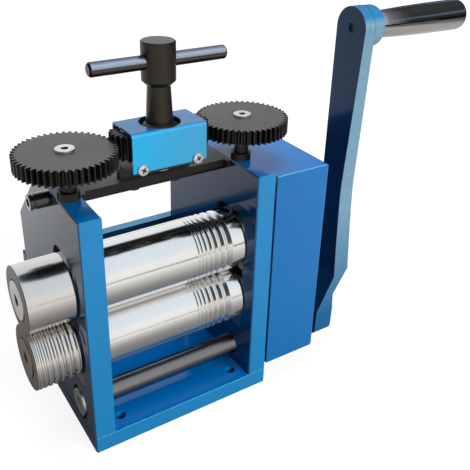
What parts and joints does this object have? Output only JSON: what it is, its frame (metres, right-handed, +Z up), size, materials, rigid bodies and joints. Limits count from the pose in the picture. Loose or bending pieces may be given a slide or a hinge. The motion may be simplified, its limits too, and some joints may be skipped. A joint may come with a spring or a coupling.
{
  "type": "jewellers rolling mill",
  "caption": "Bench rolling mill with geared steel rollers, wire grooves and extension rollers, opened by a T-handle and driven by a hand crank.",
  "frame": {"origin": "centre of the base plate's underside", "axes": "+X to the crank side, along the rollers; +Y to the back; +Z up"},
  "size_m": [0.358, 0.1373, 0.2784],
  "materials": {
    "blue_paint": "gloss paint",
    "bright_blue_paint": "metallic gloss paint",
    "hammered_blue_paint": "hammered paint",
    "black_steel": "black oxide, satin",
    "gloss_black_steel": "polished black",
    "polished_steel": "ground and polished",
    "bright_steel": "turned, bright",
    "gear_steel": "machined",
    "block_steel": "milled",
    "bronze": "turned"
  },
  "bodies": {
    "frame": {"base_plate": "blue_paint", "left_side_plate": "blue_paint", "right_side_plate": "blue_paint", "rear_plate": "blue_paint", "rear_plate_screws": "black_steel", "base_screws": "black_steel", "tie_rod": "bright_steel", "tie_rod_screw": "bright_steel", "cross_bar": "black_steel", "cross_bar_screws": "black_steel", "bridge_block": "black_steel", "bridge_screws": "black_steel", "bracket": "bright_blue_paint", "bracket_screws": "bright_steel", "idler_pins": "bright_steel", "screw_nuts": "black_steel", "lower_left_bearing_block": "block_steel", "lower_right_bearing_block": "block_steel", "lower_roller_bushes": "bronze", "gear_cover": "blue_paint", "cover_pillars": "bright_steel", "cover_screws": "black_steel", "crank_bush": "bronze", "inner_crank_bush": "bronze", "block_springs": "bright_steel"},
    "carriage": {"upper_left_bearing_block": "block_steel", "upper_right_bearing_block": "block_steel", "upper_roller_bushes": "bronze"},
    "left_screw": {"left_pressure_screw": "bright_steel", "left_screw_gear": "black_steel", "left_gear_bolt": "bright_steel"},
    "right_screw": {"right_pressure_screw": "bright_steel", "right_screw_gear": "black_steel", "right_gear_bolt": "bright_steel"},
    "handle": {"handle_spindle": "black_steel", "t_bar": "gloss_black_steel", "handle_pinion": "black_steel", "handle_collar": "bright_steel"},
    "left_idler": {"left_idler_gear": "black_steel"},
    "right_idler": {"right_idler_gear": "black_steel"},
    "upper_roller": {"upper_roller": "polished_steel", "upper_extension_roller": "polished_steel", "upper_extension_bolt": "bright_steel", "upper_roll_gear": "gear_steel", "upper_gear_key": "bright_steel", "upper_gear_bolt": "bright_steel"},
    "lower_roller": {"lower_roller": "polished_steel", "lower_extension_roller": "polished_steel", "lower_extension_bolt": "bright_steel", "lower_roll_gear": "gear_steel", "reduction_gear": "gear_steel", "lower_gear_keys": "bright_steel", "lower_gear_bolt": "bright_steel"},
    "crank": {"crank_shaft": "bright_steel", "crank_pinion": "gear_steel", "crank_arm": "hammered_blue_paint", "crank_bolt": "black_steel", "grip_spindle": "bright_steel", "grip_washer": "black_steel"},
    "grip": {"hand_grip": "gloss_black_steel"}
  },
  "joints": [
    {"name": "handle_turn", "type": "hinge", "parent": "frame", "child": "handle", "pos_m": [0, -0.0295, 0.2], "axis": [0, 0, 1], "range_deg": [-250, 2940]},
    {"name": "left_idler_turn", "type": "hinge", "parent": "frame", "child": "left_idler", "pos_m": [-0.02187, -0.0295, 0.2], "axis": [0, 0, 1], "range_deg": [-3115, 266]},
    {"name": "right_idler_turn", "type": "hinge", "parent": "frame", "child": "right_idler", "pos_m": [0.02187, -0.0295, 0.2], "axis": [0, 0, 1], "range_deg": [-3115, 266]},
    {"name": "carriage_lift", "type": "slide", "parent": "frame", "child": "carriage", "axis": [0, 0, 1], "range_m": [-0.00039, 0.00459], "deforming": ["block_springs"]},
    {"name": "left_screw_turn", "type": "hinge", "parent": "carriage", "child": "left_screw", "pos_m": [-0.0625, -0.0295, 0.19], "axis": [0, 0, 1], "range_deg": [-95, 1105]},
    {"name": "right_screw_turn", "type": "hinge", "parent": "carriage", "child": "right_screw", "pos_m": [0.0625, -0.0295, 0.19], "axis": [0, 0, 1], "range_deg": [-95, 1105]},
    {"name": "crank_turn", "type": "hinge", "parent": "frame", "child": "crank", "pos_m": [0.13, -0.0295, 0.0331], "axis": [1, 0, 0], "continuous": true},
    {"name": "lower_roller_turn", "type": "hinge", "parent": "frame", "child": "lower_roller", "pos_m": [0, -0.0295, 0.0731], "axis": [1, 0, 0], "continuous": true},
    {"name": "upper_roller_turn", "type": "hinge", "parent": "carriage", "child": "upper_roller", "pos_m": [0, -0.0295, 0.1186], "axis": [1, 0, 0], "continuous": true},
    {"name": "grip_spin", "type": "hinge", "parent": "crank", "child": "grip", "pos_m": [0.2, -0.03634, 0.2636], "axis": [1, 0, 0], "continuous": true}
  ],
  "couplings": [
    {"joint": "handle_turn", "follows": "carriage_lift", "rad_per_m": 11170},
    {"joint": "left_idler_turn", "follows": "carriage_lift", "rad_per_m": -11827},
    {"joint": "right_idler_turn", "follows": "carriage_lift", "rad_per_m": -11827},
    {"joint": "left_screw_turn", "follows": "carriage_lift", "rad_per_m": 4188.8},
    {"joint": "right_screw_turn", "follows": "carriage_lift", "rad_per_m": 4188.8},
    {"joint": "lower_roller_turn", "follows": "crank_turn", "ratio": -0.42857},
    {"joint": "upper_roller_turn", "follows": "crank_turn", "ratio": 0.42857}
  ]
}
